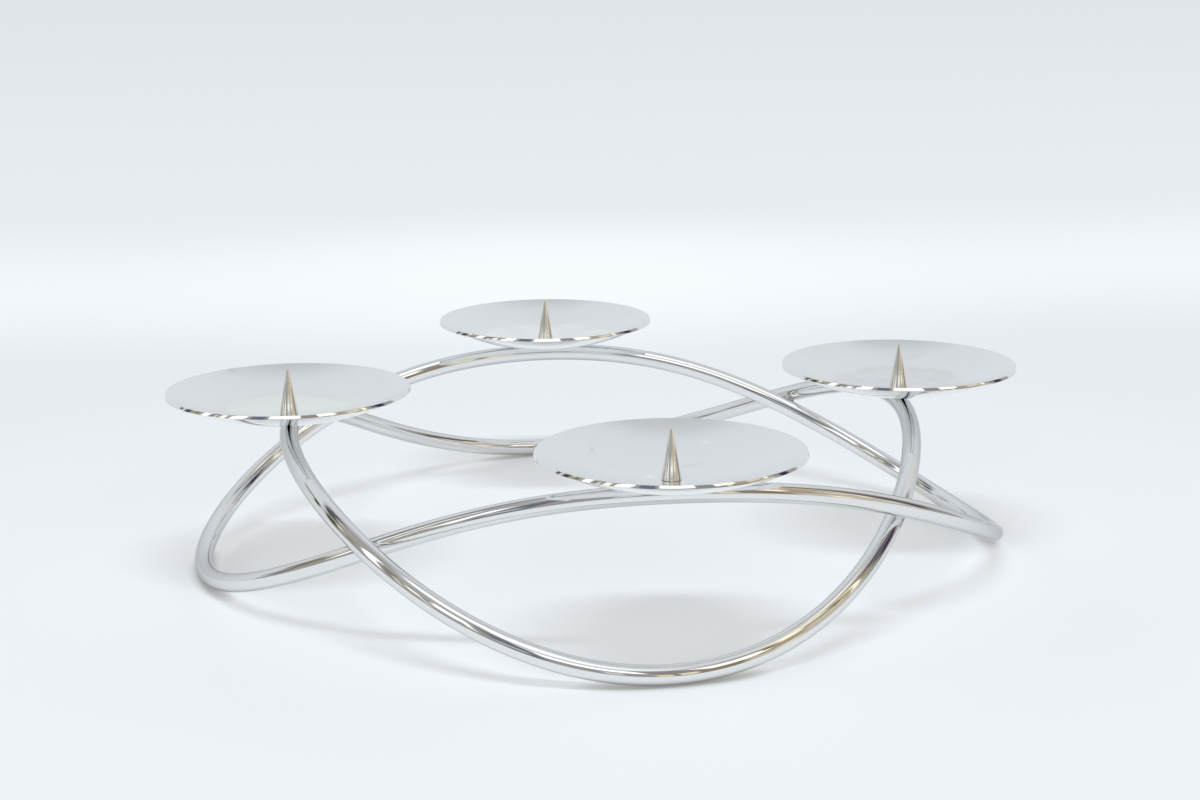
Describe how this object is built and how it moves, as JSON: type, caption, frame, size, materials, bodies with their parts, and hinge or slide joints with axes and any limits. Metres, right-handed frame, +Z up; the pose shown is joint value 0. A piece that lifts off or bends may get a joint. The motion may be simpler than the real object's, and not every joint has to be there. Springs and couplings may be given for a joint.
{
  "type": "candlestick",
  "caption": "Low chromed candlestick: wavy rings of round rod, woven through each other, carry shallow dishes with spikes for pillar candles.",
  "frame": {"origin": "On the table, under the middle of the rings.", "axes": "+Z is up, +X points at the right-hand crown and its dish, and -Y is the front."},
  "size_m": [0.286, 0.2858, 0.0673],
  "materials": {
    "rod_chrome": "mirror-bright chrome plate on steel rod",
    "dish_chrome": "bright chrome plate on pressed steel sheet, a little softened by fine scratches",
    "spike_chrome": "bright chrome plate on turned steel",
    "braze_chrome": "chrome plate over a brazed fillet, slightly uneven"
  },
  "bodies": {
    "root": {"ring_side": "rod_chrome", "ring_front": "rod_chrome", "dish_right": "dish_chrome", "dish_back": "dish_chrome", "dish_left": "dish_chrome", "dish_front": "dish_chrome", "spike_right": "spike_chrome", "spike_back": "spike_chrome", "spike_left": "spike_chrome", "spike_front": "spike_chrome", "braze_back_right": "braze_chrome", "braze_back_left": "braze_chrome", "braze_front_left": "braze_chrome", "braze_front_right": "braze_chrome"}
  },
  "joints": []
}
